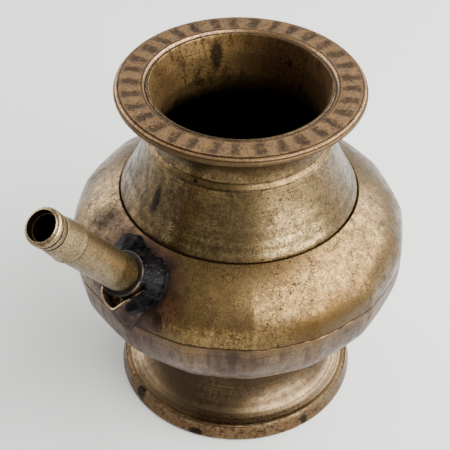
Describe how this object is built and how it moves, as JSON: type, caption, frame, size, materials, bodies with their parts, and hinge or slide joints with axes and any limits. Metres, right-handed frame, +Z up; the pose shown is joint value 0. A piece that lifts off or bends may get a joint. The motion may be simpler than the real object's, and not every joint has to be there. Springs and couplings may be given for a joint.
{
  "type": "spouted water pot",
  "caption": "Round-bellied metal water pot with a flared neck, a flat ring rim, a waisted foot and a straight slanting side spout.",
  "frame": {"origin": "middle of the bounding box, on the ground plane that the foot stands on", "axes": "+Z up along the pot's own axis, +X away from the spout, which slants up along -X, +Y to the pot's left as seen along +X"},
  "size_m": [0.1796, 0.139, 0.15],
  "materials": {
    "old_brass": "aged satin with pits and brown patina",
    "rim_brass": "coppery satin with dark radial strokes",
    "foot_brass": "aged satin with fine turning marks",
    "spout_brass": "worn satin",
    "brazing": "dull",
    "soft_solder": "dark dull",
    "black_pitch": "glossy, lumpy"
  },
  "bodies": {
    "root": {"foot_ring": "foot_brass", "foot_solder": "brazing", "lower_bowl": "old_brass", "belly_solder": "brazing", "upper_bowl": "old_brass", "shoulder_solder": "brazing", "neck_collar": "old_brass", "rim_solder": "soft_solder", "rim_ring": "rim_brass", "spout_tube": "spout_brass", "spout_ferrule": "spout_brass", "spout_root_collar": "spout_brass", "spout_socket": "old_brass", "pitch_seal": "black_pitch"}
  },
  "joints": []
}
